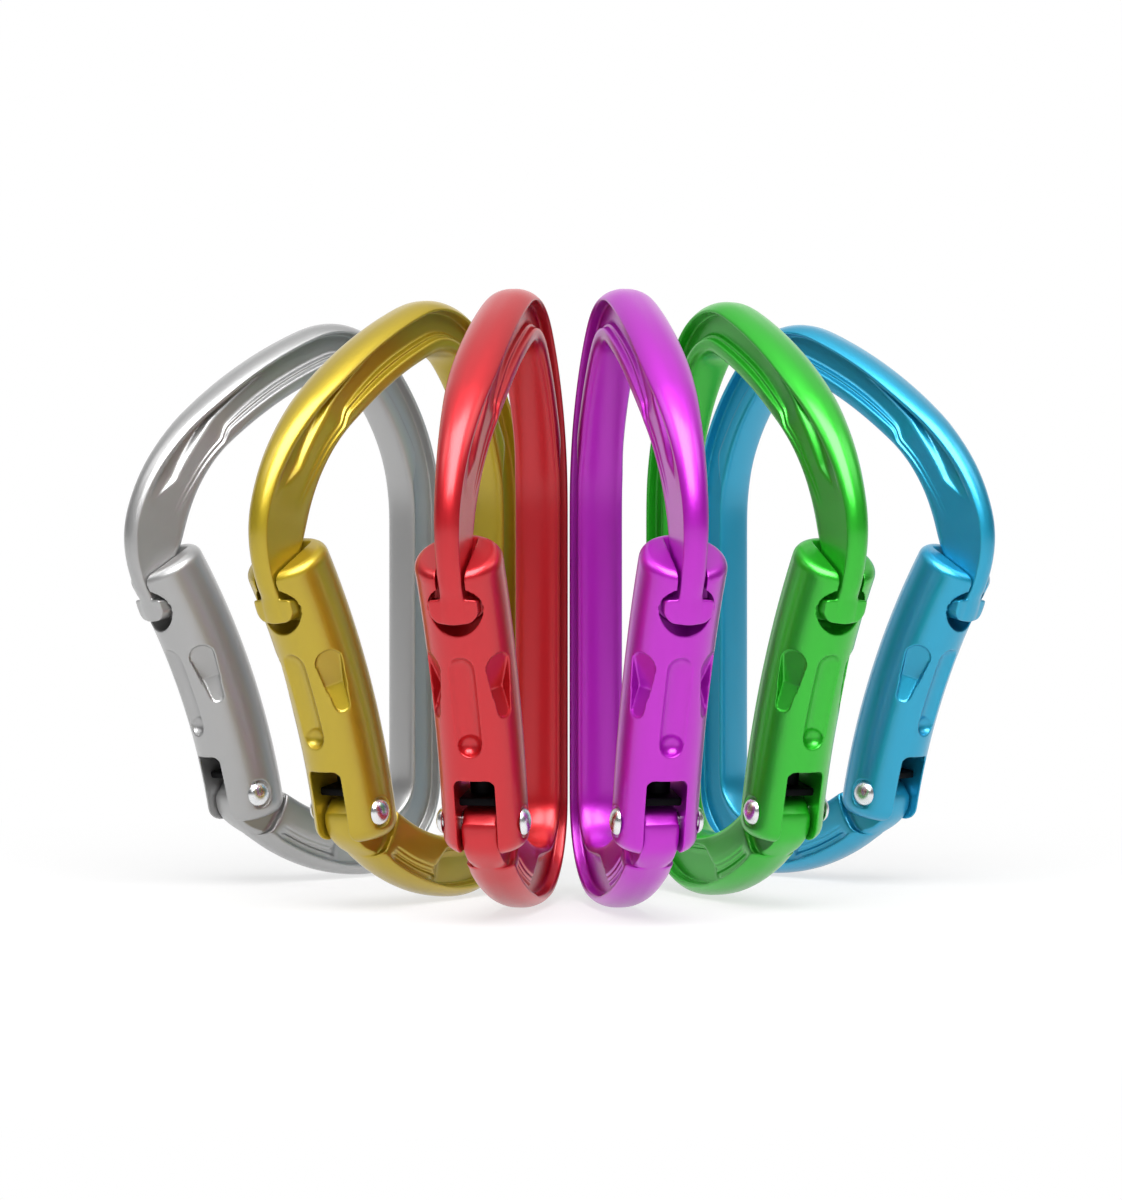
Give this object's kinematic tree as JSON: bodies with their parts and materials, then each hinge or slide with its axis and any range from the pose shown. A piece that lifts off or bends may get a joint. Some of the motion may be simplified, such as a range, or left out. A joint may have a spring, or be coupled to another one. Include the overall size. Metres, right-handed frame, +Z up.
{
  "type": "carabiner set",
  "caption": "Set of equal bent-gate keylock carabiners in anodised colours, standing upright in a fan, each with a sprung gate that swings inwards on a rivet.",
  "frame": {"origin": "on the floor, under the middle of the set's box", "axes": "+Z up along the spines, +X to the right across the fan, -Y towards the gates and the viewer"},
  "size_m": [0.1482, 0.1165, 0.1],
  "materials": {
    "silver_anodised": "satin anodised",
    "gold_anodised": "satin anodised",
    "red_anodised": "satin anodised",
    "violet_anodised": "satin anodised",
    "green_anodised": "satin anodised",
    "blue_anodised": "satin anodised",
    "rivet_steel": "polished",
    "spring_steel": "drawn wire",
    "plunger_steel": "ground"
  },
  "bodies": {
    "frames": {"silver_frame": "silver_anodised", "gold_frame": "gold_anodised", "red_frame": "red_anodised", "violet_frame": "violet_anodised", "green_frame": "green_anodised", "blue_frame": "blue_anodised"},
    "silver_gate": {"silver_gate": "silver_anodised", "silver_hinge_rivet": "rivet_steel", "silver_gate_spring": "spring_steel"},
    "silver_plunger": {"silver_spring_plunger": "plunger_steel"},
    "gold_gate": {"gold_gate": "gold_anodised", "gold_hinge_rivet": "rivet_steel", "gold_gate_spring": "spring_steel"},
    "gold_plunger": {"gold_spring_plunger": "plunger_steel"},
    "red_gate": {"red_gate": "red_anodised", "red_hinge_rivet": "rivet_steel", "red_gate_spring": "spring_steel"},
    "red_plunger": {"red_spring_plunger": "plunger_steel"},
    "violet_gate": {"violet_gate": "violet_anodised", "violet_hinge_rivet": "rivet_steel", "violet_gate_spring": "spring_steel"},
    "violet_plunger": {"violet_spring_plunger": "plunger_steel"},
    "green_gate": {"green_gate": "green_anodised", "green_hinge_rivet": "rivet_steel", "green_gate_spring": "spring_steel"},
    "green_plunger": {"green_spring_plunger": "plunger_steel"},
    "blue_gate": {"blue_gate": "blue_anodised", "blue_hinge_rivet": "rivet_steel", "blue_gate_spring": "spring_steel"},
    "blue_plunger": {"blue_spring_plunger": "plunger_steel"}
  },
  "joints": [
    {"name": "silver_gate_hinge", "type": "hinge", "parent": "frames", "child": "silver_gate", "pos_m": [-0.05621, 0.02415, 0.01637], "axis": [-0.6574, 0.7536, 0], "range_deg": [0, 34], "stiffness_Nm_per_rad": 0.25, "springref_deg": -28.65},
    {"name": "silver_plunger_slide", "type": "slide", "parent": "silver_gate", "child": "silver_plunger", "axis": [-0.1446, -0.1262, 0.9814], "range_m": [0, 0.001], "deforming": ["silver_gate_spring"]},
    {"name": "gold_gate_hinge", "type": "hinge", "parent": "frames", "child": "gold_gate", "pos_m": [-0.0336, -0.01557, 0.01637], "axis": [-0.8131, 0.5821, 0], "range_deg": [0, 34], "stiffness_Nm_per_rad": 0.25, "springref_deg": -28.65},
    {"name": "gold_plunger_slide", "type": "slide", "parent": "gold_gate", "child": "gold_plunger", "axis": [-0.1117, -0.1561, 0.9814], "range_m": [0, 0.001], "deforming": ["gold_gate_spring"]},
    {"name": "red_gate_hinge", "type": "hinge", "parent": "frames", "child": "red_gate", "pos_m": [-0.01152, -0.03579, 0.01637], "axis": [-0.9755, 0.2198, 0], "range_deg": [0, 34], "stiffness_Nm_per_rad": 0.25, "springref_deg": -28.65},
    {"name": "red_plunger_slide", "type": "slide", "parent": "red_gate", "child": "red_plunger", "axis": [-0.0422, -0.1872, 0.9814], "range_m": [0, 0.001], "deforming": ["red_gate_spring"]},
    {"name": "violet_gate_hinge", "type": "hinge", "parent": "frames", "child": "violet_gate", "pos_m": [0.01487, -0.03574, 0.01637], "axis": [-0.9744, -0.225, 0], "range_deg": [0, 34], "stiffness_Nm_per_rad": 0.25, "springref_deg": -28.65},
    {"name": "violet_plunger_slide", "type": "slide", "parent": "violet_gate", "child": "violet_plunger", "axis": [0.0432, -0.187, 0.9814], "range_m": [0, 0.001], "deforming": ["violet_gate_spring"]},
    {"name": "green_gate_hinge", "type": "hinge", "parent": "frames", "child": "green_gate", "pos_m": [0.03634, -0.01566, 0.01637], "axis": [-0.9063, -0.4226, 0], "range_deg": [0, 34], "stiffness_Nm_per_rad": 0.25, "springref_deg": -28.65},
    {"name": "green_plunger_slide", "type": "slide", "parent": "green_gate", "child": "green_plunger", "axis": [0.0811, -0.174, 0.9814], "range_m": [0, 0.001], "deforming": ["green_gate_spring"]},
    {"name": "blue_gate_hinge", "type": "hinge", "parent": "frames", "child": "blue_gate", "pos_m": [0.05742, 0.02499, 0.01637], "axis": [-0.7181, -0.6959, 0], "range_deg": [0, 34], "stiffness_Nm_per_rad": 0.25, "springref_deg": -28.65},
    {"name": "blue_plunger_slide", "type": "slide", "parent": "blue_gate", "child": "blue_plunger", "axis": [0.1336, -0.1378, 0.9814], "range_m": [0, 0.001], "deforming": ["blue_gate_spring"]}
  ],
  "couplings": [
    {"joint": "silver_plunger_slide", "follows": "silver_gate_hinge", "m_per_rad": 0.0016},
    {"joint": "gold_plunger_slide", "follows": "gold_gate_hinge", "m_per_rad": 0.0016},
    {"joint": "red_plunger_slide", "follows": "red_gate_hinge", "m_per_rad": 0.0016},
    {"joint": "violet_plunger_slide", "follows": "violet_gate_hinge", "m_per_rad": 0.0016},
    {"joint": "green_plunger_slide", "follows": "green_gate_hinge", "m_per_rad": 0.0016},
    {"joint": "blue_plunger_slide", "follows": "blue_gate_hinge", "m_per_rad": 0.0016}
  ]
}
